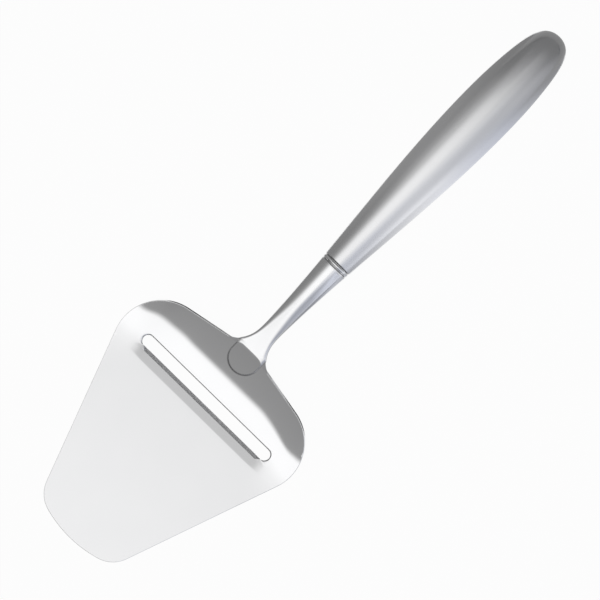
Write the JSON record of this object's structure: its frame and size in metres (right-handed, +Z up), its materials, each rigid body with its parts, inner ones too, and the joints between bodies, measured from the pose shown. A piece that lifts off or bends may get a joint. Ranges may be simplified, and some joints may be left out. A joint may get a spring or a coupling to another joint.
{
  "type": "cheese slicer",
  "caption": "Steel cheese slicer with a wide pressed blade, a slot with a ground cutting lip, a forged neck with a bead ring and a hollow teardrop handle.",
  "frame": {"origin": "middle of the overall length and width, on the surface the slicer lies on", "axes": "+X from the tip of the blade to the butt of the handle, +Y across the blade, +Z up from the surface"},
  "size_m": [0.2444, 0.0808, 0.0205],
  "materials": {
    "blade_mirror": "mirror polished",
    "neck_polish": "polished",
    "weld_metal": "ground and polished",
    "ring_polish": "polished",
    "handle_satin": "satin",
    "bush_steel": "turned",
    "core_resin": "cast"
  },
  "bodies": {
    "root": {"blade": "blade_mirror", "neck": "neck_polish", "root_weld": "weld_metal", "collar_ring": "ring_polish", "handle_upper_shell": "handle_satin", "handle_lower_shell": "handle_satin", "mouth_bush": "bush_steel", "handle_core": "core_resin"}
  },
  "joints": []
}
